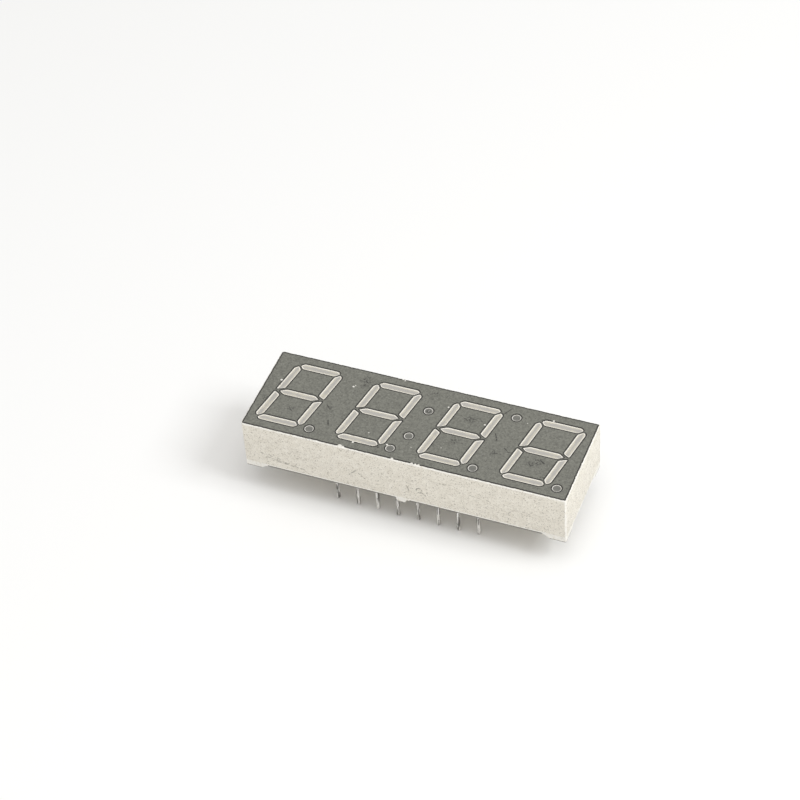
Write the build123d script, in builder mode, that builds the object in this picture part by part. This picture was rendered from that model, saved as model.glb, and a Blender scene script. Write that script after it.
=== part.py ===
# A four-digit seven-segment display: a white reflector housing with a grey printed face,
# resin-filled light wells, a circuit board with its light-emitting dies, and sixteen pins.
#
# Millimetres. +X runs along the row of digits in reading order, +Y toward the digits' tops
# and +Z out of the face. The origin is the centre of the seating plane, which is where the
# corner feet stand on the board that the display is soldered to.
from build123d import *
from math import radians, tan
import os

os.makedirs("parts", exist_ok=True)

# Housing
body_length = 40.2
body_width = 12.8
body_height = 7.0  # from the feet to the printed face
wall = 0.6
left_corner_radius = 0.35
right_corner_radius = 0.15
rim_chamfer = 0.06
foot_height = 0.5
foot_length = 2.0
foot_ramp = 0.7
tab_centre_x = -0.15
tab_width = 0.75
tab_left_ramp = 0.45
tab_right_ramp = 0.25

# Printed face
ink_thickness = 0.05
ink_margin = 0.09  # bare plastic left around the print
window_rim = 0.07  # bare plastic left around each light window

# Digits
digit_count = 4
digit_pitch = 10.16
digit_height = 10.16
digit_width = 6.12
slant = 10.0  # degrees
stroke = 0.9
segment_gap = 0.2  # between segments, across the mitred corners
corner_cut = 0.88  # chamfer across each digit's outer corner
side_split = 0.15  # half the gap between an upper and a lower upright
bar_tip_gap = 0.54  # from the middle bar's tip to the digit's side
bar_taper = 0.72

# Round windows
dot_radius = 0.55
point_offset_x = 3.24
point_offset_y = -4.77
colon_x = -0.08
colon_spread = 2.25
apostrophe_x = 10.5
apostrophe_y = 4.37

# Light wells, from the face down to the circuit board
throat_length = 2.0
throat_width = 0.62
dot_throat_radius = 0.44
core_wall = 0.5  # between a light well and the hollow behind each loop of a digit
core_skin = 0.9  # between that hollow and the face

# Circuit board
board_top = 2.6
board_thickness = 1.0
board_clearance = 0.1
copper = 0.035
land_radius = 0.52

# Light-emitting dies, on their pads at the foot of each well
die_size = 0.25
die_height = 0.2
die_pad = 0.32
bond_pad_length = 0.18
bond_pad_width = 0.26
pad_gap = 0.1
wire_radius = 0.0125

# Pins
pins_per_row = 8
pin_pitch = 2.54
row_spacing = 10.16
pin_radius = 0.25
pin_length = 4.0  # below the feet, untrimmed
shank_width = 0.42  # square part of the pin, inside the board and the resin
shoulder_z = 0.08  # where the square shank turns round
hole_radius = 0.34
tip_chamfer = 0.06
front_row_trims = (0.5, 0.15, 0.35, 0.0, 0.1, 0.0, 0.0, 0.25)  # cut off by hand, left to right

# Solder and back resin
solder_foot_radius = 0.48
solder_top_radius = 0.32
solder_height = 0.4
resin_depth = 0.7
meniscus_radius = 0.5
meniscus_tip_radius = 0.31

# Levels and half sizes that follow from the above
housing_top = body_height - ink_thickness
board_bottom = board_top - board_thickness
resin_bottom = board_bottom - resin_depth
cavity_length = body_length - 2 * wall
cavity_width = body_width - 2 * wall
board_length = cavity_length - 2 * board_clearance
board_width = cavity_width - 2 * board_clearance
outer_x = digit_width / 2
outer_y = digit_height / 2
inner_x = outer_x - stroke
inner_y = outer_y - stroke
mitre = segment_gap / 2**0.5
digit_centres = [digit_pitch * (i - (digit_count - 1) / 2) for i in range(digit_count)]
pin_xs = [pin_pitch * (i - (pins_per_row - 1) / 2) for i in range(pins_per_row)]


def lean(points, centre_x):
    """Points of an upright digit, leaned over by the slant and moved to their digit."""
    return [(centre_x + x + y * tan(radians(slant)), y) for x, y in points]


def bar(level):
    """Top bar of a digit (level 1) or bottom bar (level -1), mitred and corner-cut."""
    tip = (outer_x - (corner_cut + mitre) / 2, outer_y - (corner_cut - mitre) / 2)
    half = [(outer_x - corner_cut, outer_y), tip, (inner_x - mitre, inner_y)]
    points = half + [(-x, y) for x, y in reversed(half)]
    return [(x, level * y) for x, y in points][::level]


def upright(side, level):
    """One of the four side segments: side 1 is right, level 1 is upper."""
    points = [
        (outer_x, side_split),
        (outer_x, outer_y - corner_cut),
        (outer_x - (corner_cut - mitre) / 2, outer_y - (corner_cut + mitre) / 2),
        (inner_x, inner_y - mitre),
        (inner_x, stroke / 2 + side_split),
    ]
    return [(side * x, level * y) for x, y in points][:: side * level]


def middle_bar():
    """The pointed bar across the middle of a digit."""
    tip = outer_x - bar_tip_gap
    end = [(tip - bar_taper, -stroke / 2), (tip, 0), (tip - bar_taper, stroke / 2)]
    return end + [(-x, -y) for x, y in end]


def narrowed(points, width, height):
    """The same outline drawn in about its middle to the given width and height."""
    xs = [x for x, y in points]
    ys = [y for x, y in points]
    cx, cy = (min(xs) + max(xs)) / 2, (min(ys) + max(ys)) / 2
    kx, ky = width / (max(xs) - min(xs)), height / (max(ys) - min(ys))
    return [(cx + kx * (x - cx), cy + ky * (y - cy)) for x, y in points]


def middle(points):
    """The middle of an outline's bounding box."""
    xs = [x for x, y in points]
    ys = [y for x, y in points]
    return (min(xs) + max(xs)) / 2, (min(ys) + max(ys)) / 2


def well_body(window, throat):
    """A light well: from inside its window in the face down to a narrow throat."""
    with BuildPart() as body:
        with BuildSketch(Plane.XY.offset(housing_top)):
            Polygon(*window, align=None)
            offset(amount=-window_rim, kind=Kind.INTERSECTION)
        with BuildSketch(Plane.XY.offset(board_top)):
            Polygon(*throat, align=None)
        loft(ruled=True)
    return body.part


def dot_well(x, y):
    """A round light well, a little narrower at the board."""
    with BuildPart() as body:
        with BuildSketch(Plane.XY.offset(housing_top)):
            with Locations((x, y)):
                Circle(dot_radius - window_rim)
        with BuildSketch(Plane.XY.offset(board_top)):
            with Locations((x, y)):
                Circle(dot_throat_radius)
        loft()
    return body.part


# Each window has a name, an outline or a centre, a well, and a place for its die.
upright_shapes = {
    "a": bar(1),
    "b": upright(1, 1),
    "c": upright(1, -1),
    "d": bar(-1),
    "e": upright(-1, -1),
    "f": upright(-1, 1),
    "g": middle_bar(),
}
level_bars = "adg"
windows = []
wells = {}
die_places = {}
for number, centre_x in enumerate(digit_centres, start=1):
    for letter, shape in upright_shapes.items():
        is_level = letter in level_bars
        size = (throat_length, throat_width) if is_level else (throat_width, throat_length)
        name = f"digit_{number}_segment_{letter}"
        window = lean(shape, centre_x)
        place = lean([middle(shape)], centre_x)[0]
        windows.append(window)
        wells[name] = well_body(window, lean(narrowed(shape, *size), centre_x))
        die_places[name] = Location((*place, board_top), (0, 0, 0 if is_level else 90 - slant))

colon_lean = colon_spread * tan(radians(slant))
dots = {
    f"decimal_point_{number}": (centre_x + point_offset_x, point_offset_y)
    for number, centre_x in enumerate(digit_centres, start=1)
}
dots["colon_upper"] = (colon_x + colon_lean, colon_spread)
dots["colon_lower"] = (colon_x - colon_lean, -colon_spread)
dots["apostrophe_dot"] = (apostrophe_x, apostrophe_y)
for name, (x, y) in dots.items():
    wells[name] = dot_well(x, y)
    die_places[name] = Location((x, y, board_top))

# ---- Housing: one white moulding, with the reflector wells cut down through its solid top.
foot_x = body_length / 2 - foot_length
foot_y = body_width / 2 - foot_length
tab_left = tab_centre_x - tab_width / 2
tab_right = tab_centre_x + tab_width / 2
core_x = inner_x - core_wall
core_low = stroke / 2 + core_wall
core_high = inner_y - core_wall
core_outline = [(-core_x, core_low), (core_x, core_low), (core_x, core_high), (-core_x, core_high)]

with BuildPart() as housing:
    with BuildSketch():
        Rectangle(body_length, body_width)
    extrude(amount=housing_top)
    corners = housing.edges().filter_by(Axis.Z).sort_by(Axis.X)
    fillet(corners[:2], radius=left_corner_radius)
    corners = housing.edges().filter_by(Axis.Z).sort_by(Axis.X)
    fillet(corners[-2:], radius=right_corner_radius)
    chamfer(housing.faces().sort_by(Axis.Z)[-1].outer_wire().edges(), length=rim_chamfer)
    # The cavity that takes the circuit board and the resin
    with BuildSketch():
        Rectangle(cavity_length, cavity_width)
    extrude(amount=board_top, mode=Mode.SUBTRACT)
    # The long walls stop short between the corner feet and the middle tab
    with BuildSketch(Plane.XZ):
        Polygon(
            (-foot_x, 0),
            (tab_left, 0),
            (tab_left - tab_left_ramp, foot_height),
            (-foot_x + foot_ramp, foot_height),
            align=None,
        )
        Polygon(
            (tab_right, 0),
            (foot_x, 0),
            (foot_x - foot_ramp, foot_height),
            (tab_right + tab_right_ramp, foot_height),
            align=None,
        )
    extrude(amount=body_width, both=True, mode=Mode.SUBTRACT)
    # The end walls stop short between the corner feet
    with BuildSketch(Plane.YZ):
        Polygon(
            (-foot_y, 0),
            (foot_y, 0),
            (foot_y - foot_ramp, foot_height),
            (-foot_y + foot_ramp, foot_height),
            align=None,
        )
    extrude(amount=body_length, both=True, mode=Mode.SUBTRACT)
    # Hollows behind the two loops of each digit keep the moulding's walls even
    with BuildSketch(Plane.XY.offset(board_top)):
        for centre_x in digit_centres:
            Polygon(*lean(core_outline, centre_x), align=None)
            Polygon(*lean([(-x, -y) for x, y in core_outline], centre_x), align=None)
    extrude(amount=housing_top - core_skin - board_top, mode=Mode.SUBTRACT)
    for well in wells.values():
        add(well, mode=Mode.SUBTRACT)

# ---- Printed face: a thin grey coat with a window over each well.
with BuildPart() as face_ink:
    with BuildSketch(Plane.XY.offset(housing_top)) as coat:
        Rectangle(body_length, body_width)
        corners = coat.vertices().sort_by(Axis.X)
        fillet(corners[:2], radius=left_corner_radius)
        fillet(coat.vertices().sort_by(Axis.X)[-2:], radius=right_corner_radius)
        offset(amount=-ink_margin)
        for window in windows:
            Polygon(*window, align=None, mode=Mode.SUBTRACT)
        with Locations(*dots.values()):
            Circle(dot_radius, mode=Mode.SUBTRACT)
    extrude(amount=ink_thickness)

# ---- Circuit board, with a drilled hole for each pin.
with BuildPart() as circuit_board:
    with BuildSketch(Plane.XY.offset(board_bottom)):
        Rectangle(board_length, board_width)
        with GridLocations(pin_pitch, row_spacing, pins_per_row, 2):
            Circle(hole_radius, mode=Mode.SUBTRACT)
    extrude(amount=board_thickness)

# ---- One die with its pads and its bond wire, standing at the origin on the board's top.
die_x = -(pad_gap + die_pad) / 2
bond_x = (pad_gap + bond_pad_length) / 2
die_top = copper + die_height

with BuildPart() as pad_pair:
    with BuildSketch():
        with Locations((die_x, 0)):
            Rectangle(die_pad, die_pad)
        with Locations((bond_x, 0)):
            Rectangle(bond_pad_length, bond_pad_width)
    extrude(amount=copper)

with BuildPart() as die:
    with BuildSketch(Plane.XY.offset(copper)):
        with Locations((die_x, 0)):
            Rectangle(die_size, die_size)
    extrude(amount=die_height)

with BuildPart() as bond_wire:
    with BuildLine(Plane.XZ) as wire_path:
        ThreePointArc(
            (die_x, die_top),
            ((die_x + bond_x) / 2, die_top + (bond_x - die_x) / 2),
            (bond_x, die_top),
        )
        Line((bond_x, die_top), (bond_x, copper))
    with BuildSketch(Plane.XY.offset(die_top)):
        with Locations((die_x, 0)):
            Circle(wire_radius)
    sweep()

with BuildPart() as led_dies:
    with Locations(*die_places.values()):
        add(die.part)

with BuildPart() as bond_wires:
    with Locations(*die_places.values()):
        add(bond_wire.part)

# ---- Copper: the die and bond pads on top, and a round land at each pin underneath.
with BuildPart() as copper_pads:
    with Locations(*die_places.values()):
        add(pad_pair.part)
    with BuildSketch(Plane.XY.offset(board_bottom - copper)):
        with GridLocations(pin_pitch, row_spacing, pins_per_row, 2):
            Circle(land_radius)
            Circle(hole_radius, mode=Mode.SUBTRACT)
    extrude(amount=copper)

# ---- Resin plugs: each fills its well around the die, its pads and its wire.
plugs = {}
for name, well in wells.items():
    with BuildPart() as plug:
        add(well)
        with Locations(die_places[name]):
            add(pad_pair.part, mode=Mode.SUBTRACT)
            add(die.part, mode=Mode.SUBTRACT)
            add(bond_wire.part, mode=Mode.SUBTRACT)
    plugs[name] = plug.part

# ---- Pins: a square shank in the board and the resin, and round tinned wire below it.
# Numbered along the front row in reading order, then back along the rear row.
front_row = [(x, -row_spacing / 2) for x in pin_xs]
rear_row = [(x, row_spacing / 2) for x in reversed(pin_xs)]
front_trims = (front_row_trims + (0.0,) * pins_per_row)[:pins_per_row]
front_lengths = [pin_length - trim for trim in front_trims]
rear_lengths = [pin_length] * pins_per_row

shanks = []
pins = []
for (x, y), length in zip(front_row + rear_row, front_lengths + rear_lengths):
    with BuildPart() as shank:
        with BuildSketch(Plane.XY.offset(shoulder_z)):
            with Locations((x, y)):
                Rectangle(shank_width, shank_width)
        extrude(amount=board_top - shoulder_z)
    shanks.append(shank.part)
    with BuildPart() as pin:
        with BuildSketch(Plane.XY.offset(shoulder_z)):
            with Locations((x, y)):
                Circle(pin_radius)
        extrude(amount=-(shoulder_z + length))
        chamfer(pin.faces().sort_by(Axis.Z)[0].edges(), length=tip_chamfer)
        add(shank.part)
    pins.append(pin.part)

# ---- Solder: it fills each hole around the shank and rises in a small cone below the land.
solder_base = board_bottom - copper
with BuildPart() as solder_joints:
    with BuildSketch(Plane.XY.offset(solder_base)):
        with GridLocations(pin_pitch, row_spacing, pins_per_row, 2):
            Circle(hole_radius)
    extrude(amount=board_top - solder_base)
    with BuildSketch(Plane.XY.offset(solder_base)):
        Circle(solder_foot_radius)
    with BuildSketch(Plane.XY.offset(solder_base - solder_height)):
        Circle(solder_top_radius)
    cone = loft(mode=Mode.PRIVATE)
    with GridLocations(pin_pitch, row_spacing, pins_per_row, 2):
        add(cone)
    for shank in shanks:
        add(shank, mode=Mode.SUBTRACT)

# ---- Back resin: it seals the board into the housing and climbs a little way up each pin.
with BuildPart() as back_resin:
    with BuildSketch(Plane.XY.offset(resin_bottom)):
        Rectangle(cavity_length, cavity_width)
    extrude(amount=board_top - resin_bottom)
    with BuildSketch(Plane.XY.offset(board_bottom)):
        Rectangle(board_length, board_width)
    extrude(amount=board_thickness, mode=Mode.SUBTRACT)
    with BuildSketch(Plane.XY.offset(resin_bottom)):
        Circle(meniscus_radius)
    with BuildSketch(Plane.XY.offset(shoulder_z)):
        Circle(meniscus_tip_radius)
    meniscus = loft(mode=Mode.PRIVATE)
    with GridLocations(pin_pitch, row_spacing, pins_per_row, 2):
        add(meniscus)
    for shank in shanks:
        add(shank, mode=Mode.SUBTRACT)
    add(solder_joints.part, mode=Mode.SUBTRACT)
    add(copper_pads.part, mode=Mode.SUBTRACT)

# ---- Every piece is labelled and written under its own name.
housing.part.label = "housing"
export_step(housing.part, "parts/housing.step")
face_ink.part.label = "face_ink"
export_step(face_ink.part, "parts/face_ink.step")
circuit_board.part.label = "circuit_board"
export_step(circuit_board.part, "parts/circuit_board.step")
copper_pads.part.label = "copper_pads"
export_step(copper_pads.part, "parts/copper_pads.step")
led_dies.part.label = "led_dies"
export_step(led_dies.part, "parts/led_dies.step")
bond_wires.part.label = "bond_wires"
export_step(bond_wires.part, "parts/bond_wires.step")
solder_joints.part.label = "solder_joints"
export_step(solder_joints.part, "parts/solder_joints.step")
back_resin.part.label = "back_resin"
export_step(back_resin.part, "parts/back_resin.step")
for name, plug in plugs.items():
    plug.label = name
    export_step(plug, f"parts/{name}.step")
for number, pin in enumerate(pins, start=1):
    pin.label = f"pin_{number:02d}"
    export_step(pin, f"parts/pin_{number:02d}.step")
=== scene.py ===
# %% [markdown]
# # A four-digit seven-segment display
#
# This notebook dresses a finished CAD model of a clock display: a white moulded block with a
# grey printed face, twenty-eight milky segments, seven round windows and sixteen tinned pins.
# The CAD model is loaded as a fixed frame, and each piece takes its outline and size from it.
# Pieces whose edges or surfaces need more life than the CAD gives them are modelled again
# here, over the same outlines, and every piece gets a procedural material.

# %% Load the frame
import bmesh
import bpy
import math
import random
from mathutils import Matrix, Vector, noise
from mathutils.bvhtree import BVHTree


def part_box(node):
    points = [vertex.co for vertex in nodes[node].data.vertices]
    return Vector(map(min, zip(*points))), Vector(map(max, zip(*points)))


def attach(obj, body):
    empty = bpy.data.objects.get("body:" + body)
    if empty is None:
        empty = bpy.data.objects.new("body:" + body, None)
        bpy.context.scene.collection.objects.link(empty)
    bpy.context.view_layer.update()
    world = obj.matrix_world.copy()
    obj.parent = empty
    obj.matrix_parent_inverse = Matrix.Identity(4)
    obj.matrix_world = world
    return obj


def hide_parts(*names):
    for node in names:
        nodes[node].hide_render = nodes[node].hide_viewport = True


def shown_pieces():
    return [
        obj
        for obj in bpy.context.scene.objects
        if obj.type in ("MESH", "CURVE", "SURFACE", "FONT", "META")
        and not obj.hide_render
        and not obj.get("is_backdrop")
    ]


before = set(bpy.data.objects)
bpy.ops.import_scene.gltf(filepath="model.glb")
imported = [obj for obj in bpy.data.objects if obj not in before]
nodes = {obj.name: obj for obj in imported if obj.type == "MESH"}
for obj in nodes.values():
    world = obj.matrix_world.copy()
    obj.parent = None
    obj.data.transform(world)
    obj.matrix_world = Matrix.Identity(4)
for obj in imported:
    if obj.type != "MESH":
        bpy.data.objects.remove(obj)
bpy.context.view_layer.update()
print("nodes in the frame:", len(nodes))

# %% [markdown]
# ## Units
#
# Blender's tools round off very small numbers, and this whole object is only four centimetres
# long. So each new piece is modelled in millimetres and shrunk to metres as its last step.
# The materials do the same: they multiply Object coordinates by a thousand, and then every
# noise scale and every mark on a surface can be thought of in millimetres too.

# %% Key sizes, in millimetres, read from the frame
PER_METRE = 1000.0


def box_mm(node):
    """Lowest and highest corner of a CAD node, in millimetres."""
    low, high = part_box(node)
    return low * PER_METRE, high * PER_METRE


housing_high = box_mm("housing")[1]
ink_low, ink_high = box_mm("face_ink")
board_low = box_mm("circuit_board")[0]
floor_z = min(box_mm(name)[0].z for name in nodes if name.startswith("pin_"))
half_length, half_width = housing_high.x, housing_high.y
face_z = ink_high.z
print(f"block {2 * half_length:.1f} x {2 * half_width:.1f}, face at {face_z:.2f}, floor at {floor_z:.2f}")

# %% [markdown]
# ## Turning a bmesh into a piece
#
# Every modelled piece ends the same way: its mesh is shrunk to metres, its object is left at
# the origin, it is told which body it rides on, the CAD node it stands for is hidden, and it
# takes its finish. One helper does all of that, so that no piece can miss a step.

# %% Finishing helper
collection = bpy.context.scene.collection


def finish_piece(bm, name, material, stands_for, smooth_angle=30.0):
    """Shrinks the mesh to metres and hangs the new piece on the part's one body."""
    bmesh.ops.scale(bm, vec=(1 / PER_METRE,) * 3, verts=bm.verts)
    mesh = bpy.data.meshes.new(name)
    bm.to_mesh(mesh)
    bm.free()
    mesh.shade_smooth()
    mesh.set_sharp_from_angle(angle=math.radians(smooth_angle))
    mesh.materials.append(material)
    piece = bpy.data.objects.new(name, mesh)
    collection.objects.link(piece)
    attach(piece, "root")
    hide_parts(stands_for)
    return piece


# %% [markdown]
# ## Borrowing outlines from the CAD
#
# The print and the segments have to line up to a hundredth of a millimetre, so their outlines
# are not typed in again. A copy of the CAD node is merged, everything off the wanted level
# is deleted, and the edges with a single face beside them are the outline. What is left is
# a closed loop of loose edges, ready to be rounded and filled.

# %% Outline helper
def outline_at(node, level):
    """The outline of a CAD node's flat face at one height: a bmesh of loose edges, in mm."""
    bm = bmesh.new()
    bm.from_mesh(nodes[node].data)
    bmesh.ops.scale(bm, vec=(PER_METRE,) * 3, verts=bm.verts)
    bmesh.ops.remove_doubles(bm, verts=bm.verts, dist=0.001)
    off_level = [v for v in bm.verts if abs(v.co.z - level) > 0.004]
    bmesh.ops.delete(bm, geom=off_level, context="VERTS")
    rim = {e for e in bm.edges if len(e.link_faces) == 1}
    bmesh.ops.delete(bm, geom=list(bm.faces), context="FACES_ONLY")
    bmesh.ops.delete(bm, geom=[e for e in bm.edges if e not in rim], context="EDGES")
    return bm


# %% [markdown]
# ## Node helpers
#
# A procedural material is a small network, and the same few moves come back in each one:
# coordinates in millimetres, a noise, a ramp that sharpens it, a mix of two colours. Naming
# the moves keeps each material below short enough to read as a recipe.

# %% Material helpers
class Recipe:
    """A node material being written: it keeps the tree and adds nodes by plain names."""

    def __init__(self, name):
        self.material = bpy.data.materials.new(name)
        self.material.use_nodes = True
        self.tree = self.material.node_tree
        self.shader = self.tree.nodes["Principled BSDF"]
        coordinates = self.add("ShaderNodeTexCoord")
        self.place = self.vector("SCALE", coordinates.outputs["Object"], scale=PER_METRE)

    def add(self, kind, **settings):
        node = self.tree.nodes.new(kind)
        for key, value in settings.items():
            setattr(node, key, value)
        return node

    def feed(self, socket, value):
        """Links an output, or sets a plain value."""
        if isinstance(value, bpy.types.NodeSocket):
            self.tree.links.new(value, socket)
        else:
            socket.default_value = value

    def vector(self, operation, a, b=None, scale=None):
        node = self.add("ShaderNodeVectorMath", operation=operation)
        self.feed(node.inputs[0], a)
        if b is not None:
            self.feed(node.inputs[1], b)
        if scale is not None:
            node.inputs["Scale"].default_value = scale
        return node.outputs["Value" if operation in ("LENGTH", "DISTANCE", "DOT_PRODUCT") else "Vector"]

    def math(self, operation, a, b=0.0, c=0.0, clamp=False):
        node = self.add("ShaderNodeMath", operation=operation, use_clamp=clamp)
        for socket, value in zip(node.inputs, (a, b, c)):
            self.feed(socket, value)
        return node.outputs[0]

    def stretch(self, sizes, turn=(0, 0, 0), vector=None):
        """Coordinates divided by sizes in mm, so that a noise gets grains of that size."""
        node = self.add("ShaderNodeMapping", vector_type="POINT")
        self.feed(node.inputs["Vector"], vector or self.place)
        node.inputs["Rotation"].default_value = [math.radians(a) for a in turn]
        node.inputs["Scale"].default_value = [1 / s for s in sizes]
        return node.outputs["Vector"]

    def noise(self, size=1.0, detail=3.0, roughness=0.5, distortion=0.0, vector=None):
        """A noise whose grains are about size mm across."""
        node = self.add("ShaderNodeTexNoise", noise_dimensions="3D")
        self.feed(node.inputs["Vector"], vector or self.place)
        node.inputs["Scale"].default_value = 1 / size
        node.inputs["Detail"].default_value = detail
        node.inputs["Roughness"].default_value = roughness
        node.inputs["Distortion"].default_value = distortion
        return node.outputs["Fac"]

    def band(self, value, low, high):
        """0 below low, 1 above high, and a smooth step between them. It falls if low > high."""
        node = self.add("ShaderNodeMapRange", interpolation_type="SMOOTHSTEP", clamp=True)
        self.feed(node.inputs["Value"], value)
        rising = low < high
        node.inputs["From Min"].default_value = min(low, high)
        node.inputs["From Max"].default_value = max(low, high)
        node.inputs["To Min"].default_value = 0.0 if rising else 1.0
        node.inputs["To Max"].default_value = 1.0 if rising else 0.0
        return node.outputs["Result"]

    def mix(self, amount, a, b):
        node = self.add("ShaderNodeMix", data_type="RGBA")
        self.feed(node.inputs["Factor"], amount)
        self.feed(node.inputs[6], a)
        self.feed(node.inputs[7], b)
        return node.outputs[2]

    def bump(self, height, distance, normal=None):
        """A bump whose full height is distance mm."""
        node = self.add("ShaderNodeBump")
        self.feed(node.inputs["Height"], height)
        node.inputs["Distance"].default_value = distance / PER_METRE
        node.inputs["Strength"].default_value = 1.0
        if normal is not None:
            self.feed(node.inputs["Normal"], normal)
        return node.outputs["Normal"]

    def most(self, masks):
        """The strongest of several masks."""
        total = masks[0]
        for mask in masks[1:]:
            total = self.math("MAXIMUM", total, mask)
        return total

    def finish(self, colour, roughness, normal=None, **constants):
        self.feed(self.shader.inputs["Base Color"], colour)
        self.feed(self.shader.inputs["Roughness"], roughness)
        if normal is not None:
            self.feed(self.shader.inputs["Normal"], normal)
        for key, value in constants.items():
            self.shader.inputs[key].default_value = value
        return self.material


def rgb(red, green, blue):
    return (red, green, blue, 1.0)


print("helpers ready")

# %% [markdown]
# ## Marks in known places
#
# General wear can be left to noise, but this display also has scratches, chips and specks in
# places of their own. A mark is drawn by its distance: from a point it is a spot or a ring,
# and from a short line it is a scratch. The coordinates are first shaken by a fine noise,
# which makes the edge of every mark ragged, as a real chip or scuff is.

# %% Mark helpers
def shaken(recipe, amount, size):
    """The coordinates, wandering by up to about amount mm in steps of about size mm."""
    node = recipe.add("ShaderNodeTexNoise", noise_dimensions="3D")
    recipe.feed(node.inputs["Vector"], recipe.place)
    node.inputs["Scale"].default_value = 1 / size
    node.inputs["Detail"].default_value = 2.0
    centred = recipe.vector("SUBTRACT", node.outputs["Color"], (0.5, 0.5, 0.5))
    wander = recipe.vector("SCALE", centred, scale=2 * amount)
    return recipe.vector("ADD", recipe.place, wander)


def spot(recipe, place, centre, radius, soft=0.04):
    """1 inside a round mark, 0 outside."""
    away = recipe.vector("DISTANCE", place, centre)
    return recipe.band(away, radius + soft, radius - soft)


def ring(recipe, place, centre, radius, width):
    """1 on a thin ring, 0 elsewhere."""
    away = recipe.vector("DISTANCE", place, centre)
    off = recipe.math("ABSOLUTE", recipe.math("SUBTRACT", away, radius))
    return recipe.band(off, width, width / 3)


def scratch(recipe, place, start, end, width):
    """1 along a short line from start to end, 0 away from it."""
    start, end = Vector(start), Vector(end)
    along = end - start
    from_start = recipe.vector("SUBTRACT", place, tuple(start))
    share = recipe.vector("DOT_PRODUCT", from_start, tuple(along / along.length_squared))
    share = recipe.math("MULTIPLY", share, 1.0, clamp=True)
    node = recipe.add("ShaderNodeVectorMath", operation="SCALE")
    node.inputs[0].default_value = along
    recipe.feed(node.inputs["Scale"], share)
    away = recipe.vector("DISTANCE", from_start, node.outputs["Vector"])
    return recipe.band(away, width, width / 3)


# %% [markdown]
# ## White plastic
#
# The block is moulded in a warm white plastic that is filled with white pigment so that no
# light leaks from one segment to the next. Up close it is matt and faintly grainy, with
# rubbed-in dirt, tiny pits and hair scratches from being loose in a parts drawer. A flat
# colour would look like paper, so the colour, the roughness and the bump all vary together.

# %% White plastic material
FOOT_LENGTH = 2.8       # from the end of the block to where the dark line rises
TAB_HALF_LENGTH = 0.75  # from the middle tab's centre to where the dark line rises
# The width below is also how far in the painted highlight along the edges reaches.
EDGE_RUB_AND_HIGHLIGHT = 0.22         # how far in from an edge the plastic is rubbed clean


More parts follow.
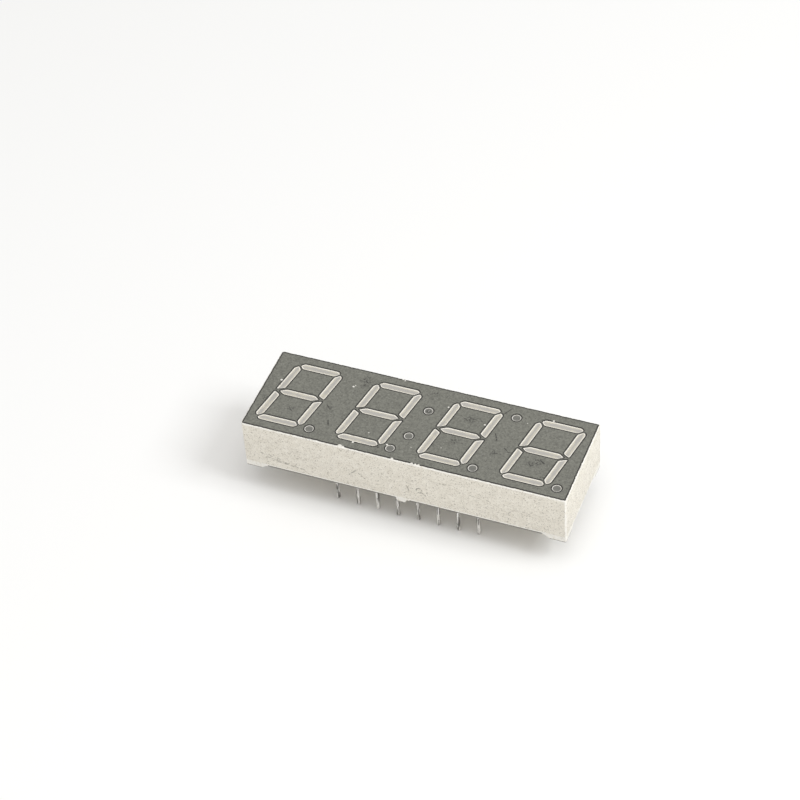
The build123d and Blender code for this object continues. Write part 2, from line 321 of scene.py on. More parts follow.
def white_plastic():
    r = Recipe("white_plastic")
    clean = rgb(0.920, 0.880, 0.790)
    shade = rgb(0.690, 0.642, 0.545)
    rub_and_highlight = rgb(0.965, 0.945, 0.895)
    grime = rgb(0.24, 0.225, 0.19)
    cloud = r.band(r.noise(size=0.9, detail=4, roughness=0.6), 0.35, 0.7)
    grain = r.band(r.noise(size=0.15, detail=3, roughness=0.65, distortion=0.6), 0.42, 0.70)
    colour = r.mix(r.math("MULTIPLY", cloud, 0.35), clean, shade)
    colour = r.mix(r.math("MULTIPLY", grain, 0.70), colour, shade)
    flecks = r.noise(size=0.17, detail=2, roughness=0.5, distortion=0.8)
    flecks = r.math("MULTIPLY", r.band(flecks, 0.58, 0.66), 0.85)
    # Small pits hold dirt
    pits = r.band(r.noise(size=0.20, detail=1, roughness=0.3), 0.70, 0.76)
    pit_area = r.band(r.noise(size=2.6, detail=2), 0.40, 0.58)
    pits = r.math("MULTIPLY", pits, pit_area)
    # Hair scratches run mostly along the block
    hair = r.noise(detail=2, roughness=0.5, distortion=0.8, vector=r.stretch((1.5, 1.5, 0.07), (0, 14, 0)))
    hair = r.math("MULTIPLY", r.band(hair, 0.655, 0.69), r.band(r.noise(size=2.2), 0.46, 0.58))
    cross = r.noise(detail=2, distortion=1.2, vector=r.stretch((0.08, 0.08, 1.0), (0, 25, 0)))
    cross = r.math("MULTIPLY", r.band(cross, 0.69, 0.72), r.band(r.noise(size=1.6), 0.52, 0.66))
    # One ejector-like ring and a few curved scuffs on the front wall
    front_y = -half_width
    place = shaken(r, 0.05, 0.25)
    marks = [
        ring(r, place, (2.15, front_y, 2.75), 0.36, 0.12),
        scratch(r, place, (2.45, front_y, 2.45), (2.95, front_y, 2.1), 0.10),
        scratch(r, place, (-18.0, front_y, 2.7), (-15.2, front_y, 2.25), 0.10),
        scratch(r, place, (-17.2, front_y, 2.2), (-14.4, front_y, 1.85), 0.09),
        scratch(r, place, (-15.9, front_y, 1.8), (-12.4, front_y, 1.5), 0.09),
        scratch(r, place, (-6.6, front_y, 2.6), (-5.8, front_y, 3.5), 0.10),
        scratch(r, place, (-5.8, front_y, 3.5), (-4.6, front_y, 2.5), 0.09),
        scratch(r, place, (0.6, front_y, 3.1), (0.9, front_y, 2.3), 0.10),
        scratch(r, place, (8.2, front_y, 4.1), (9.6, front_y, 3.9), 0.05),
        scratch(r, place, (12.6, front_y, 2.0), (13.4, front_y, 2.9), 0.05),
    ]
    broken = r.band(r.noise(size=0.35, detail=3), 0.40, 0.54)
    marks = r.math("MULTIPLY", r.math("MULTIPLY", r.most(marks), broken), 0.70)
    colour = r.mix(flecks, colour, rgb(0.45, 0.415, 0.35))
    # The edges are lighter: a painted highlight along every corner, on plastic rubbed clean there
    axes = r.add("ShaderNodeSeparateXYZ")
    r.feed(axes.inputs[0], r.place)
    x, y, z = (r.math("ABSOLUTE", axes.outputs[axis]) for axis in "XYZ")
    near_end = r.band(x, half_length - EDGE_RUB_AND_HIGHLIGHT, half_length - 0.1)
    near_side = r.band(y, half_width - EDGE_RUB_AND_HIGHLIGHT, half_width - 0.1)
    upright = r.math("MULTIPLY", near_end, near_side)
    near_top = r.band(z, housing_high.z - EDGE_RUB_AND_HIGHLIGHT, housing_high.z - 0.08)
    edges = r.most([upright, near_top, r.band(z, 0.90, 0.78)])
    edges = r.math("MULTIPLY", edges, r.band(r.noise(size=0.4, detail=2), 0.30, 0.50))
    colour = r.mix(r.math("MULTIPLY", edges, 0.85), colour, rub_and_highlight)
    # A dark line of painted shade follows the lowest edges of the outside walls, where the shadow
    # under the block starts. It runs higher up between the feet and the middle tab, where the wall
    # ends higher.
    between_feet = r.band(x, half_length - FOOT_LENGTH, half_length - 3.0)
    off_tab = r.band(x, TAB_HALF_LENGTH, 0.95)
    raised = r.math("MULTIPLY", between_feet, off_tab)
    shade_line = r.most([r.math("MULTIPLY", raised, r.band(z, 0.70, 0.64)), r.band(z, 0.12, 0.08)])
    on_side = r.band(y, half_width - 0.06, half_width - 0.03)
    on_end = r.band(x, half_length - 0.06, half_length - 0.03)
    outside = r.most([on_side, on_end])
    shade_line = r.math("MULTIPLY", r.math("MULTIPLY", shade_line, outside), 0.92)
    colour = r.mix(shade_line, colour, rgb(0.05, 0.046, 0.042))
    dirt = r.most([
        r.math("MULTIPLY", pits, 0.75),
        r.math("MULTIPLY", hair, 0.5),
        r.math("MULTIPLY", cross, 0.4),
        marks,
    ])
    colour = r.mix(dirt, colour, grime)
    relief = r.math("SUBTRACT", r.noise(size=0.13, detail=3, roughness=0.6), dirt)
    normal = r.bump(relief, 0.034)
    roughness = r.band(cloud, -0.6, 1.6)
    roughness = r.math("MULTIPLY_ADD", roughness, 0.18, 0.42)
    return r.finish(colour, roughness, normal)


plastic = white_plastic()
print("white plastic:", len(plastic.node_tree.nodes), "nodes")

# %% [markdown]
# ## The housing
#
# The block itself keeps its CAD shape, but a moulding has no knife edges. The CAD mesh is
# loose triangles, so a copy is merged and its flat faces dissolved, and then the sharp outer
# edges are bevelled by a few hundredths of a millimetre. That is small, yet it is what
# catches the light along every corner of the real block.

# %% Housing
EDGE_ROUND = 0.045


def is_outer(v):
    """True for a vertex on one of the four outside walls."""
    on_end = half_length - abs(v.co.x) < 0.002
    on_side = half_width - abs(v.co.y) < 0.002
    return on_end or on_side


def make_housing():
    bm = bmesh.new()
    bm.from_mesh(nodes["housing"].data)
    bmesh.ops.scale(bm, vec=(PER_METRE,) * 3, verts=bm.verts)
    bmesh.ops.remove_doubles(bm, verts=bm.verts, dist=0.001)
    bmesh.ops.dissolve_limit(bm, angle_limit=math.radians(0.5), verts=bm.verts, edges=bm.edges)
    sharp = [
        e for e in bm.edges
        if len(e.link_faces) == 2
        and e.calc_face_angle() > math.radians(35)
        and all(is_outer(v) or v.co.z < 0.6 for v in e.verts)
        and max(v.co.z for v in e.verts) < ink_low.z + 0.001
    ]
    bmesh.ops.bevel(
        bm, geom=sharp, offset=EDGE_ROUND, offset_type="OFFSET", segments=2,
        profile=0.5, affect="EDGES", material=-1, clamp_overlap=True,
    )
    print(f"housing: {len(sharp)} sharp edges rounded, {len(bm.faces)} faces")
    return finish_piece(bm, "housing_shell", plastic, "housing")


make_housing()

# %% [markdown]
# ## The grey print
#
# The face is printed with a matt grey ink that swallows room light, so that the lit segments
# stand out. Ink draws up to its edges as it dries, which leaves a darker bead around each
# window and along the border, and the step down at each edge gets painted shade as well, so
# the dark line there is bead and painted shade together. Handling has scratched it, and has
# chipped it off where it runs over the block's edge.

# %% Grey print material
def grey_print():
    r = Recipe("grey_print")
    ink = rgb(0.208, 0.208, 0.180)
    ink_dark = rgb(0.136, 0.136, 0.118)
    bead_and_shade = rgb(0.030, 0.029, 0.026)
    scuff = rgb(0.046, 0.045, 0.041)
    bare = rgb(0.80, 0.78, 0.73)
    mottle = r.band(r.noise(size=0.3, detail=4, roughness=0.65, distortion=0.5), 0.35, 0.7)
    colour = r.mix(mottle, ink, ink_dark)
    # Scattered rub marks, from noise
    rub = r.band(r.noise(size=0.35, detail=3, roughness=0.6, distortion=1.5), 0.66, 0.74)
    rub_area = r.band(r.noise(size=4.0, detail=1), 0.48, 0.62)
    rub = r.math("MULTIPLY", r.math("MULTIPLY", rub, rub_area), 0.65)
    specks = r.noise(size=0.19, detail=2, distortion=0.6)
    colour = r.mix(r.math("MULTIPLY", r.band(specks, 0.60, 0.69), 0.75), colour, rgb(0.085, 0.083, 0.075))
    colour = r.mix(r.math("MULTIPLY", r.band(specks, 0.38, 0.30), 0.5), colour, rgb(0.31, 0.31, 0.285))
    # Scratches in their own places
    z = face_z
    place = shaken(r, 0.07, 0.3)
    lines = [
        ((-11.5, -0.5), (-10.9, -1.0), 0.10),
        ((-10.4, -2.8), (-10.1, -3.5), 0.10),
        ((4.2, 2.7), (5.2, 2.2), 0.06),
        ((5.2, 2.2), (6.4, 2.9), 0.06),
        ((6.4, 2.9), (7.2, 2.3), 0.05),
        ((8.9, 4.5), (9.5, 5.6), 0.09),
        ((9.0, 1.2), (9.5, 0.2), 0.10),
        ((10.8, -0.7), (11.4, -1.2), 0.10),
        ((11.4, -1.2), (11.9, -1.1), 0.08),
        ((9.6, -1.9), (10.7, -1.7), 0.08),
        ((-8.9, 4.9), (-8.2, 4.4), 0.12),
        ((-8.4, 4.0), (-8.8, 3.7), 0.10),
        ((-3.4, -4.9), (-3.2, -5.1), 0.14),
        ((15.3, -1.2), (15.9, -1.6), 0.12),
        ((14.2, -2.0), (14.6, -2.5), 0.09),
        ((-15.6, -2.2), (-15.2, -2.6), 0.08),
    ]
    scratches = [scratch(r, place, (*a, z), (*b, z), width) for a, b, width in lines]
    scratched = r.math("MULTIPLY", r.most(scratches), r.band(r.noise(size=0.16), 0.34, 0.52))
    # Smudges: patches where many small rubs have run together
    patches = [
        ((-8.4, 4.8), 0.65), ((-8.2, 3.9), 0.35), ((15.2, -1.5), 0.65), ((14.4, -2.2), 0.45),
        ((5.6, 2.5), 0.55), ((9.7, -1.7), 0.50), ((4.8, -1.4), 0.60), ((-15.3, -2.4), 0.40),
        ((-3.0, -4.9), 0.30), ((-19.0, -1.6), 0.40), ((-10.9, -0.9), 0.30), ((16.4, -3.6), 0.35),
        ((2.5, -2.8), 0.35), ((0.2, 5.2), 0.40),
    ]
    patched = r.most([spot(r, place, (*centre, z), size, soft=0.22) for centre, size in patches])
    patched = r.math("MULTIPLY", patched, r.band(r.noise(size=0.2, detail=3, distortion=1.0), 0.50, 0.60))
    scratched = r.math("MAXIMUM", scratched, r.math("MULTIPLY", patched, 0.85))
    colour = r.mix(r.most([rub, scratched]), colour, scuff)
    # The dark line at every edge of the print: an ink bead and painted shade along the step
    edge = r.add("ShaderNodeAttribute", attribute_name="edge").outputs["Fac"]
    bead_and_shade_mask = r.math("MULTIPLY_ADD", r.math("SUBTRACT", r.noise(size=0.25, detail=2), 0.5), 0.5, edge)
    colour = r.mix(r.math("MULTIPLY", r.band(bead_and_shade_mask, 0.10, 0.50), 0.95), colour, bead_and_shade)
    # Chips down to the white plastic
    chips = [
        ((-9.6, 3.3), 0.12), ((-9.45, 3.55), 0.06), ((-5.1, -3.2), 0.07), ((12.0, 3.9), 0.05),
        ((-4.4, 6.33), 0.16), ((-4.1, 6.12), 0.09), ((-7.55, -6.26), 0.25), ((-7.15, -6.31), 0.18),
        ((-1.0, -6.28), 0.17), ((1.4, -6.31), 0.18), ((1.85, -6.32), 0.16), ((2.25, -6.32), 0.17),
        ((-18.25, 1.72), 0.13), ((-6.3, -5.22), 0.13), ((2.35, 3.55), 0.10), ((7.35, 2.15), 0.11),
        ((14.8, 5.2), 0.12), ((-2.35, -4.35), 0.12), ((0.45, -3.9), 0.05), ((3.8, -2.9), 0.05),
    ]
    chipped = r.most([spot(r, place, (*centre, z), radius) for centre, radius in chips])
    colour = r.mix(chipped, colour, bare)
    relief = r.math("SUBTRACT", r.noise(size=0.14, detail=3, roughness=0.6), scratched)
    relief = r.math("SUBTRACT", relief, chipped)
    normal = r.bump(relief, 0.008)
    roughness = r.math("MULTIPLY_ADD", mottle, 0.12, 0.50)
    return r.finish(colour, roughness, normal)


ink = grey_print()
print("grey print:", len(ink.node_tree.nodes), "nodes")

# %% [markdown]
# ## The print's shape
#
# The print is a sheet a twentieth of a millimetre thick with thirty-five windows in it. Its
# outline comes from the CAD, and then the window corners are rounded, because ink never
# holds a sharp corner, and the long border is cut fine and roughened.

# %% Rounding and roughening helpers
CORNER_ROUND = 0.15
BEAD_AND_SHADE_WIDTH = 0.12
FADE_WIDTH = 0.05
WINDOW_RIM = 0.07      # how much wider a window is than its round plug
WINDOW_SIDES = 40
BORDER_ZONE = 0.28     # a point nearer the print's limit than this is on its border
BORDER_CORNER = 0.3    # border corners turn around a point this far in
BORDER_STEP = 0.14     # longest edge of the border once it is cut fine
OUTLINE_STEP = 0.3     # the same for the windows
BORDER_WEAR = 0.09
ROOM_SEARCH = 0.6      # how far a point looks for the next outline
ROOM_SHARE = 0.45      # the part of that gap it may take
dot_names = [n for n in nodes if n.startswith(("decimal_point", "colon_", "apostrophe"))]
segment_names = sorted(n for n in nodes if "_segment_" in n)


def centre_of(node):
    low, high = box_mm(node)
    return (low + high) / 2


def round_corners(bm, verts, amount):
    """Rounds corners of a loose outline."""
    bmesh.ops.bevel(
        bm, geom=verts, offset=amount, offset_type="OFFSET", segments=4, profile=0.5,
        affect="VERTICES", material=-1, clamp_overlap=True,
    )


def on_border(v):
    return abs(v.co.x) > ink_high.x - BORDER_ZONE or abs(v.co.y) > ink_high.y - BORDER_ZONE


def border_inward(co):
    """The way into the print from a point of its outer border, corners included."""
    reach_x, reach_y = ink_high.x - BORDER_CORNER, ink_high.y - BORDER_CORNER
    nearest = Vector((max(-reach_x, min(reach_x, co.x)), max(-reach_y, min(reach_y, co.y)), co.z))
    return (nearest - co).normalized()


def cut_fine(bm, edges, step):
    for edge in edges:
        cuts = int(edge.calc_length() / step)
        if cuts:
            bmesh.ops.subdivide_edges(bm, edges=[edge], cuts=cuts)


def roughen_border(bm, amount):
    """Lets the border wander inwards by up to about amount mm."""
    for v in filter(on_border, bm.verts):
        slow = abs(noise.noise(Vector((v.co.x * 2.3, v.co.y * 2.3, 4.0))))
        fast = abs(noise.noise(Vector((v.co.x * 7, v.co.y * 7, 9.0))))
        v.co += border_inward(v.co) * amount * (slow + 0.5 * fast)


# %% [markdown]
# ## Two strips along every edge
#
# The material needs to know how close a point is to the edge of the print. So the outlines are
# extruded sideways, into the print, twice: a strip that is all bead and painted shade, and a
# strip over which it fades. Between two segments the print is only a fifth of a millimetre
# wide, so every point first looks how far away the next outline is and takes less than half of that.

# %% Edge strips
def outline_ids(bm):
    """Numbers each closed outline and tells where its middle is."""
    ids, middles = {}, []
    for start in bm.verts:
        if start in ids:
            continue
        loop, stack = [], [start]
        while stack:
            v = stack.pop()
            if v in ids:
                continue
            ids[v] = len(middles)
            loop.append(v)
            stack += [e.other_vert(v) for e in v.link_edges]
        middles.append(sum((v.co for v in loop), Vector()) / len(loop))
    return ids, middles


def room_and_way(bm):
    """For each outline point: the way into the print, and the distance to the next outline."""
    ids, middles = outline_ids(bm)
    bm.verts.index_update()
    points, walls, owners = [], [], []
    for v in bm.verts:
        points += [v.co - Vector((0, 0, 1)), v.co + Vector((0, 0, 1))]
    for e in bm.edges:
        a, b = (v.index for v in e.verts)
        walls.append((2 * a, 2 * b, 2 * b + 1, 2 * a + 1))
        owners.append(ids[e.verts[0]])
    tree = BVHTree.FromPolygons(points, walls)
    way, room = {}, {}
    for v in bm.verts:
        hits = tree.find_nearest_range(v.co, ROOM_SEARCH)
        room[v] = min((hit[3] for hit in hits if owners[hit[2]] != ids[v]), default=ROOM_SEARCH)
        if on_border(v):
            way[v] = border_inward(v.co)
            continue
        sides = []
        for e in v.link_edges:
            along = (e.other_vert(v).co - v.co).normalized()
            side = Vector((along.y, -along.x, 0))
            outward = (v.co + e.other_vert(v).co) / 2 - middles[ids[v]]
            sides.append(side if side.dot(outward) > 0 else -side)
        mean = (sides[0] + sides[1]).normalized()
        way[v] = mean / max(mean.dot(sides[0]), 0.5)
    return way, room


def edge_strips(bm, widths):
    """Extrudes the outlines sideways, once for each width. Gives the last edges back."""
    edge = bm.verts.layers.float.new("edge")
    way, room = room_and_way(bm)
    start = {v: v.co.copy() for v in bm.verts}
    source = {v: v for v in bm.verts}
    edges = bm.edges[:]
    full = sum(widths)
    reach = 0.0
    for width in widths:
        reach += width
        for v in source:
            v[edge] = 1.0
        made = bmesh.ops.extrude_edge_only(bm, edges=edges)["geom"]
        fresh = {g for g in made if isinstance(g, bmesh.types.BMVert)}
        edges = [g for g in made if isinstance(g, bmesh.types.BMEdge) and all(v in fresh for v in g.verts)]
        origin = {}
        for v in fresh:
            behind = next(e.other_vert(v) for e in v.link_edges if e.other_vert(v) not in fresh)
            origin[v] = source[behind]
        for v, first in origin.items():
            share = min(1.0, ROOM_SHARE * room[first] / full)
            v.co = start[first] + way[first] * reach * share
        source = origin
    for v in source:
        v[edge] = 0.0
    return edges


# %% The print
def make_print():
    bm = outline_at("face_ink", ink_high.z)
    reach = box_mm(dot_names[0])[1].x - centre_of(dot_names[0]).x + WINDOW_RIM
    centres = [centre_of(n) for n in dot_names]
    old_dots = [v for v in bm.verts if any((v.co.xy - c.xy).length < reach + 0.01 for c in centres)]
    bmesh.ops.delete(bm, geom=old_dots, context="VERTS")
    round_corners(bm, [v for v in bm.verts if not on_border(v)], CORNER_ROUND)
    cut_fine(bm, [e for e in bm.edges if all(on_border(v) for v in e.verts)], BORDER_STEP)
    cut_fine(bm, [e for e in bm.edges if not all(on_border(v) for v in e.verts)], OUTLINE_STEP)
    roughen_border(bm, BORDER_WEAR)
    for c in centres:
        place = Matrix.Translation((c.x, c.y, ink_high.z))
        bmesh.ops.create_circle(bm, segments=WINDOW_SIDES, radius=reach, matrix=place)
    inner_edges = edge_strips(bm, (BEAD_AND_SHADE_WIDTH, FADE_WIDTH))
    bmesh.ops.triangle_fill(bm, edges=inner_edges, use_beauty=True, normal=(0, 0, 1))
    bmesh.ops.recalc_face_normals(bm, faces=bm.faces[:])
    if sum(f.normal.z * f.calc_area() for f in bm.faces) < 0:
        bmesh.ops.reverse_faces(bm, faces=bm.faces[:])
    bmesh.ops.solidify(bm, geom=bm.faces[:], thickness=ink_high.z - ink_low.z)
    heights = [v.co.z for v in bm.verts]
    print(f"print: {len(bm.faces)} faces, z {min(heights):.3f} to {max(heights):.3f}")
    return finish_piece(bm, "face_print", ink, "face_ink")


make_print()

# %% [markdown]
# ## Milky resin
#
# Each well is poured full of epoxy that is clouded with glass powder, so that the light of a
# speck-sized die spreads over the whole segment. Unlit, the resin shows the white well
# through its haze: beige at the sides, where the white wall is close, and greyer down the
# middle, where the well is deep. It shrinks a little as it cures, and the surface is left
# slightly dished.

# %% Resin materials
def milky_resin(name, side, middle, rim, nick=None):
    r = Recipe(name)
    depth = r.add("ShaderNodeAttribute", attribute_name="depth").outputs["Fac"]
    across = r.add("ShaderNodeAttribute", attribute_name="across").outputs["Fac"]
    haze = r.noise(size=0.22, detail=3, roughness=0.6)
    blotch = r.noise(size=1.1, detail=2)
    off_middle = r.math("MULTIPLY_ADD", r.math("SUBTRACT", blotch, 0.5), 1.6, r.math("ABSOLUTE", across))
    colour = r.mix(r.band(off_middle, 0.75, 0.15), side, middle)
    streak = r.noise(detail=2, vector=r.stretch((0.5, 0.12, 1.0)))
    colour = r.mix(r.math("MULTIPLY", r.band(haze, 0.42, 0.66), 0.5), colour, middle)
    colour = r.mix(r.math("MULTIPLY", r.band(streak, 0.52, 0.66), 0.35), colour, middle)
    colour = r.mix(r.band(depth, 0.75, 0.25), colour, rim)
    if nick:
        place = shaken(r, 0.04, 0.2)
        colour = r.mix(spot(r, place, nick, 0.30), colour, rgb(0.10, 0.098, 0.09))
        glint = scratch(r, place, nick, nick + Vector((0.05, 0.22, 0)), 0.10)
        colour = r.mix(glint, colour, rgb(0.75, 0.73, 0.69))
    normal = r.bump(r.noise(size=0.2, detail=2), 0.006)
    return r.finish(colour, 0.38, normal)


segment_resin = milky_resin(
    "segment_resin", rgb(0.590, 0.555, 0.462), rgb(0.440, 0.425, 0.400), rgb(0.88, 0.84, 0.75)
)
nicked = centre_of("colon_upper")
nicked.z = face_z
dot_resin = milky_resin(
    "dot_resin", rgb(0.200, 0.198, 0.178), rgb(0.165, 0.164, 0.150), rgb(0.34, 0.33, 0.31), nicked
)
print("resins ready")

# %% [markdown]
# ## The segments
#
# A segment is a tapered plug, wide at the face and narrow at the board. Its top outline is
# the CAD's, with rounded corners. Its rim is extruded down to the board and drawn in, and its
# filled top is extruded in place, shrunk and lowered a little, twice, for the dished
# surface. Both follow the digit's slant, so each is a scale done inside a shear.

# %% Plug helpers
SLANT = math.radians(10.0)


def leaning_scale(centre, kx, ky):
    """A scale along the digit's leaning axes, about a centre."""
    lean = Matrix.Identity(4)
    lean[0][1] = math.tan(SLANT)
    there = Matrix.Translation(centre)
    return there @ lean @ Matrix.Diagonal((kx, ky, 1, 1)) @ lean.inverted() @ there.inverted()


def dish_and_sink(bm, top, rim_width, dish, bottom_z, centre, length, width, kx, ky):
    """Dishes the top face and extrudes its rim down to the board."""
    depth = bm.verts.layers.float.new("depth")
    rim_edges = list(top.edges)
    skirt = bmesh.ops.extrude_edge_only(bm, edges=rim_edges)["geom"]
    foot = [g for g in skirt if isinstance(g, bmesh.types.BMVert)]
    bmesh.ops.translate(bm, vec=(0, 0, bottom_z - top.verts[0].co.z), verts=foot)
    bmesh.ops.transform(bm, matrix=leaning_scale(centre, kx, ky), verts=foot)
    foot_edges = [g for g in skirt if isinstance(g, bmesh.types.BMEdge) and all(v in foot for v in g.verts)]
    bmesh.ops.contextual_create(bm, geom=foot_edges)
    for ring_number in (1, 2):
        top = bmesh.ops.extrude_discrete_faces(bm, faces=[top])["faces"][0]
        left, before = 2 * rim_width * ring_number, 2 * rim_width * (ring_number - 1)
        shrink = leaning_scale(centre, (length - left) / (length - before), (width - left) / (width - before))
        bmesh.ops.transform(bm, matrix=Matrix.Translation((0, 0, -dish)) @ shrink, verts=list(top.verts))
        for v in top.verts:
            v[depth] = 0.5 * ring_number
    across = bm.verts.layers.float.new("across")
    for v in bm.verts:
        away = v.co - centre
        if length < width:
            v[across] = (away.x - away.y * math.tan(SLANT)) / (length / 2)
        else:
            v[across] = away.y / (width / 2)
    bmesh.ops.recalc_face_normals(bm, faces=bm.faces[:])


# %% Segments
def make_segment(node):
    low, high = box_mm(node)
    bm = outline_at(node, high.z)
    centre = (low + high) / 2
    round_corners(bm, bm.verts[:], CORNER_ROUND - 0.02)
    top = bmesh.ops.contextual_create(bm, geom=bm.edges[:])["faces"][0]
    if top.normal.z < 0:
        top.normal_flip()
    is_level = node[-1] in "adg"
    kx, ky = (0.45, 0.8) if is_level else (0.8, 0.5)
    width = high.y - low.y
    length = high.x - low.x - width * math.tan(SLANT)
    dish_and_sink(bm, top, 0.055, 0.010, low.z, Vector((centre.x, centre.y, 0)), length, width, kx, ky)
    return finish_piece(bm, node + "_resin", segment_resin, node, smooth_angle=50)


segments = [make_segment(name) for name in segment_names]
print("segments:", len(segments), "of about", len(segments[0].data.polygons), "faces")

# %% [markdown]
# ## The round windows
#
# The decimal points, the colon and the high dot are printed over with a film of the grey, so
# unlit they almost vanish: a grey disc with a pale ring where the well's white wall shows.
# They are round plugs made from a circle, dished and sunk with the same helper.

# %% Round windows
def make_dot(node):
    low, high = box_mm(node)
    centre = (low + high) / 2
    radius = (high.x - low.x) / 2
    bm = bmesh.new()
    made = bmesh.ops.create_circle(
        bm, cap_ends=True, segments=WINDOW_SIDES, radius=radius,
        matrix=Matrix.Translation((centre.x, centre.y, high.z)),
    )
    top = made["verts"][0].link_faces[0]
    if top.normal.z < 0:
        top.normal_flip()
    axis = Vector((centre.x, centre.y, 0))
    dish_and_sink(bm, top, 0.04, 0.006, low.z, axis, 2 * radius, 2 * radius, 0.92, 0.92)
    return finish_piece(bm, node + "_resin", dot_resin, node, smooth_angle=50)


dots = [make_dot(name) for name in sorted(dot_names)]
print("round windows:", len(dots))

# %% [markdown]
# ## Tinned wire
#
# The pins are cut from tinned wire. Tin flows on by dipping, so the surface is bright but
# never even: it has ripples, drips and dull patches, and it has tarnished dark in long
# streaks all the way round. The streaks come from noise drawn out along the wire.

# %% Tinned wire material
def tinned_wire():
    r = Recipe("tinned_wire")
    bright = rgb(0.90, 0.89, 0.86)
    dull = rgb(0.42, 0.41, 0.385)
    tarnish = rgb(0.07, 0.066, 0.06)
    streak = r.noise(detail=3, distortion=0.6, vector=r.stretch((0.12, 0.12, 1.6)))
    patch = r.noise(size=0.4, detail=3, roughness=0.6)
    colour = r.mix(r.math("MULTIPLY", r.band(streak, 0.40, 0.65), 0.8), bright, dull)
    colour = r.mix(r.math("MULTIPLY", r.band(patch, 0.62, 0.70), 0.8), colour, tarnish)
    dark_streak = r.noise(detail=2, vector=r.stretch((0.20, 0.20, 2.2)))
    colour = r.mix(r.math("MULTIPLY", r.band(dark_streak, 0.50, 0.60), 0.80), colour, tarnish)
    roughness = r.math("MULTIPLY_ADD", r.band(patch, 0.3, 0.7), 0.25, 0.34)
    normal = r.bump(r.noise(size=0.3, detail=2), 0.012)
    return r.finish(colour, roughness, normal, Metallic=0.75)


tin = tinned_wire()
print("tinned wire:", len(tin.node_tree.nodes), "nodes")

# %% [markdown]
# ## The pins
#
# Each pin is a circle extruded downwards ring by ring. Every ring is nudged and swelled by a
# seeded random amount, which makes the lumpy tin, and the last rings close in to the
# cut and dipped tip. The lengths are the CAD's, so the pins that were trimmed short by
# hand stay short.

# %% Pins
PIN_SIDES = 24
RING_STEP = 0.22


def make_pin(node, seed):
    rng = random.Random(seed)
    low, high = box_mm(node)
    centre = (low + high) / 2
    radius = (high.x - low.x) / 2
    top_z = board_low.z
    length = top_z - low.z
    ring_count = round(length / RING_STEP)
    bm = bmesh.new()
    made = bmesh.ops.create_circle(
        bm, cap_ends=True, segments=PIN_SIDES, radius=radius - 0.03,
        matrix=Matrix.Translation((centre.x, centre.y, top_z)),
    )
    edges = list(made["verts"][0].link_faces[0].edges)
    lean_x, lean_y = rng.uniform(-0.02, 0.02), rng.uniform(-0.02, 0.02)
    tip = ((0.16, 0.94), (0.08, 0.80), (0.03, 0.60), (0.0, 0.34))
    levels = [(top_z - length * i / ring_count, 1.0) for i in range(1, ring_count)]
    levels = [level for level in levels if level[0] > low.z + 0.25]
    levels += [(low.z + rise, share) for rise, share in tip]
    for z, share in levels:
        grown = bmesh.ops.extrude_edge_only(bm, edges=edges)["geom"]
        verts = [g for g in grown if isinstance(g, bmesh.types.BMVert)]
        edges = [g for g in grown if isinstance(g, bmesh.types.BMEdge) and all(v in verts for v in g.verts)]
        swell = (radius - rng.uniform(0.0, 0.035)) * share
        below = (top_z - z) / length
        for v in verts:
            out = (v.co.xy - Vector((centre.x, centre.y))).normalized()
            lump = 1 - 0.07 * abs(noise.noise(Vector((out.x * 1.3, out.y * 1.3, z * 1.7 + seed))))
            v.co.x = centre.x + lean_x * below + out.x * swell * lump
            v.co.y = centre.y + lean_y * below + out.y * swell * lump
            v.co.z = z
    bmesh.ops.contextual_create(bm, geom=edges)
    bmesh.ops.recalc_face_normals(bm, faces=bm.faces[:])
    return finish_piece(bm, node + "_wire", tin, node, smooth_angle=60)


pin_names = sorted(n for n in nodes if n.startswith("pin_"))
pins = [make_pin(name, seed) for seed, name in enumerate(pin_names, start=1)]
print("pins:", len(pins), "of", len(pins[0].data.polygons), "faces")

# %% [markdown]
# ## What is inside and underneath
#
# The circuit board, its copper, the dies, their gold wires, the solder and the poured resin
# keep their CAD shapes. Only the resin shows, from below, and it is a cream epoxy that set
# with a skin of fine ripples and a few bubbles. The others still get a finish of their
# own, because someone may open the model or cut it in two.

# %% Materials for the carried-over nodes
def poured_resin():
    r = Recipe("poured_resin")
    cream = rgb(0.54, 0.50, 0.41)
    amber = rgb(0.42, 0.375, 0.285)
    colour = r.mix(r.band(r.noise(size=2.5, detail=3), 0.35, 0.7), cream, amber)
    bubbles = r.add("ShaderNodeTexVoronoi", feature="F1")
    r.feed(bubbles.inputs["Vector"], r.place)
    bubbles.inputs["Scale"].default_value = 0.9
    bubble = r.band(bubbles.outputs["Distance"], 0.16, 0.10)
    bubble = r.math("MULTIPLY", bubble, r.band(r.noise(size=3.0), 0.5, 0.6))
    colour = r.mix(r.math("MULTIPLY", bubble, 0.5), colour, amber)
    relief = r.math("MULTIPLY_ADD", bubble, -0.8, r.noise(size=1.2, detail=2))
    return r.finish(colour, 0.28, r.bump(relief, 0.05))


def laminate():
    r = Recipe("board_laminate")
    weave_x = r.noise(detail=1, vector=r.stretch((1.2, 0.12, 1.0)))
    weave_y = r.noise(detail=1, vector=r.stretch((0.12, 1.2, 1.0)))
    weave = r.math("MAXIMUM", weave_x, weave_y)
    colour = r.mix(r.band(weave, 0.4, 0.7), rgb(0.70, 0.68, 0.55), rgb(0.62, 0.60, 0.46))
    return r.finish(colour, 0.45, r.bump(weave, 0.02))


def bare_metal(name, bright, dull, roughness):
    r = Recipe(name)
    patch = r.noise(size=0.15, detail=3)
    colour = r.mix(r.band(patch, 0.35, 0.7), bright, dull)
    return r.finish(colour, r.math("MULTIPLY_ADD", patch, 0.2, roughness), r.bump(patch, 0.006), Metallic=1.0)


def crystal():
    r = Recipe("die_crystal")
    layers = r.noise(detail=1, vector=r.stretch((5.0, 5.0, 0.04)))
    colour = r.mix(r.band(layers, 0.45, 0.55), rgb(0.42, 0.38, 0.16), rgb(0.20, 0.18, 0.12))
    return r.finish(colour, 0.2)


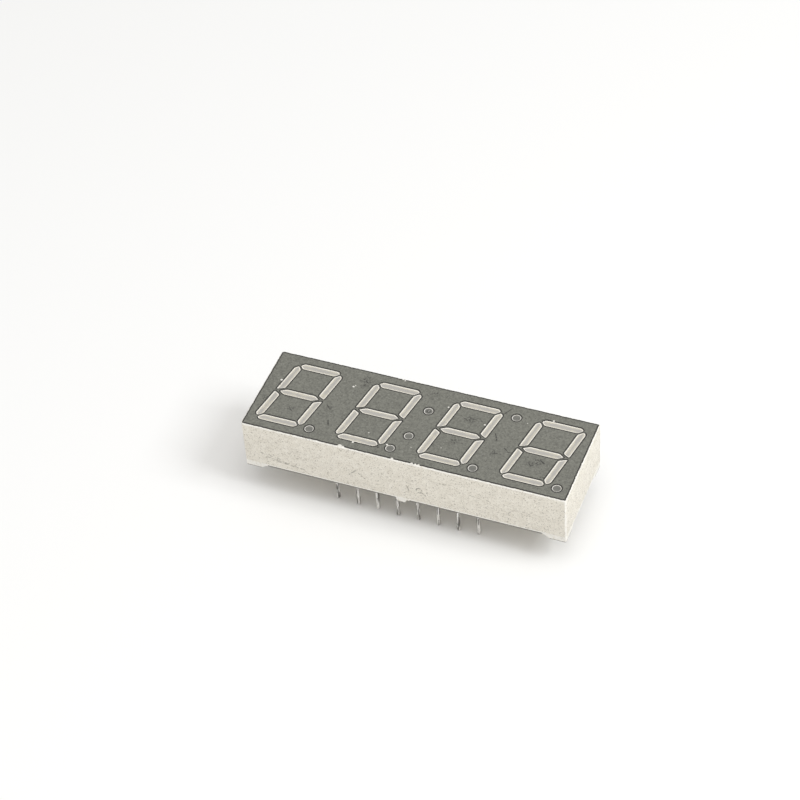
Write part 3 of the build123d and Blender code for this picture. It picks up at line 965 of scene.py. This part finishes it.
finishes = {
    "back_resin": poured_resin(),
    "circuit_board": laminate(),
    "copper_pads": bare_metal("copper", rgb(0.80, 0.48, 0.32), rgb(0.62, 0.34, 0.22), 0.25),
    "bond_wires": bare_metal("gold_wire", rgb(0.95, 0.74, 0.36), rgb(0.85, 0.62, 0.28), 0.15),
    "solder_joints": bare_metal("solder", rgb(0.70, 0.70, 0.70), rgb(0.45, 0.45, 0.46), 0.25),
    "led_dies": crystal(),
}
for name, material in finishes.items():
    for slot in nodes[name].material_slots:
        slot.material = material
print("carried over:", ", ".join(finishes))

# %% [markdown]
# ## The stage
#
# The display stands on its pin tips on a pale floor. Most of the light comes evenly from the
# whole sky, so the floor is bright around the block and in shade only beneath it. The floor
# looks white to the camera by a slightly paler colour and a trace of glow that only camera,
# mirror and glass rays see, so it adds no light to the object and keeps its shadow.

# %% Floor and sky
FLOOR_HALF_SIZE = 3.0  # metres
SKY_STRENGTH = 0.57


def white_floor():
    r = Recipe("white_floor")
    paths = r.add("ShaderNodeLightPath")
    seen = r.most([paths.outputs[name] for name in ("Is Camera Ray", "Is Glossy Ray", "Is Transmission Ray")])
    tone = r.mix(r.noise(size=40.0, detail=1), rgb(0.88, 0.877, 0.87), rgb(0.87, 0.867, 0.86))
    tone = r.mix(seen, tone, rgb(0.93, 0.93, 0.93))
    glow = r.math("MULTIPLY", seen, 0.015)
    r.feed(r.shader.inputs["Emission Strength"], glow)
    r.shader.inputs["Emission Color"].default_value = rgb(1, 1, 1)
    r.shader.inputs["Specular IOR Level"].default_value = 0.0
    return r.finish(tone, 1.0)


floor_mesh = bpy.data.meshes.new("floor")
bm = bmesh.new()
bmesh.ops.create_grid(bm, x_segments=1, y_segments=1, size=FLOOR_HALF_SIZE)
bmesh.ops.translate(bm, vec=(0, 0, floor_z / PER_METRE), verts=bm.verts)
bm.to_mesh(floor_mesh)
bm.free()
floor = bpy.data.objects.new("floor", floor_mesh)
floor_mesh.materials.append(white_floor())
collection.objects.link(floor)
floor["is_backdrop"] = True

world = bpy.data.worlds.new("sky")
bpy.context.scene.world = world
world.use_nodes = True
world.node_tree.nodes["Background"].inputs["Color"].default_value = rgb(1.0, 0.99, 0.97)
world.node_tree.nodes["Background"].inputs["Strength"].default_value = SKY_STRENGTH
print("floor and sky ready")

# %% [markdown]
# ## Lamps
#
# Two large and distant panels add to the sky. The key hangs almost overhead, a little to the
# front, so that its light hardly gets beneath the block. The other stands off the right end
# and makes the end wall the brightest side.

# %% Lamps
def panel(name, place, size, power, colour):
    """A square lamp at a place in millimetres, facing the block."""
    data = bpy.data.lights.new(name, "AREA")
    data.size = size / PER_METRE
    data.energy = power
    data.color = colour
    lamp = bpy.data.objects.new(name, data)
    lamp.location = Vector(place) / PER_METRE
    lamp.rotation_euler = (-lamp.location).to_track_quat("-Z", "Y").to_euler()
    collection.objects.link(lamp)
    return lamp


panel("key", (90, -124, 540), 460, 0.98, (1.0, 0.99, 0.97))
panel("end", (400, -20, 450), 240, 1.45, (0.97, 0.99, 1.0))
print("lamps ready")

# %% [markdown]
# ## The camera
#
# A long lens from half above, a little to the right of the front wall. The viewpoint is
# given as a photographer would set it: the point aimed at, the distance, the two angles and
# the slight roll of a hand-held shot.

# %% Camera
LENS = 111.5
DISTANCE = 292.3
AZIMUTH = math.radians(24.09)
ELEVATION = math.radians(45.14)
ROLL = math.radians(-4.38)
AIM = Vector((-3.54, 2.91, face_z))

forward = Vector((
    -math.cos(ELEVATION) * math.sin(AZIMUTH),
    math.cos(ELEVATION) * math.cos(AZIMUTH),
    -math.sin(ELEVATION),
))
level = forward.cross(Vector((0, 0, 1))).normalized()
rise = level.cross(forward)
right = math.cos(ROLL) * level + math.sin(ROLL) * rise
up = right.cross(forward)
camera_data = bpy.data.cameras.new("camera")
camera_data.lens = LENS
camera_data.clip_start = 0.01
camera = bpy.data.objects.new("camera", camera_data)
turn = Matrix((right, up, -forward)).transposed()
camera.matrix_world = Matrix.Translation((AIM - forward * DISTANCE) / PER_METRE) @ turn.to_4x4()
collection.objects.link(camera)
bpy.context.scene.camera = camera
bpy.context.scene.view_settings.view_transform = "Standard"
print("camera at", [round(c * PER_METRE, 1) for c in camera.location])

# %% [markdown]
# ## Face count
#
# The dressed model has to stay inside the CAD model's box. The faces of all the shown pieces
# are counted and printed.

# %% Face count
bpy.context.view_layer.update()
meshes = [o.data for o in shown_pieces() if o.type == "MESH"]
print("faces:", sum(len(m.polygons) for m in meshes))
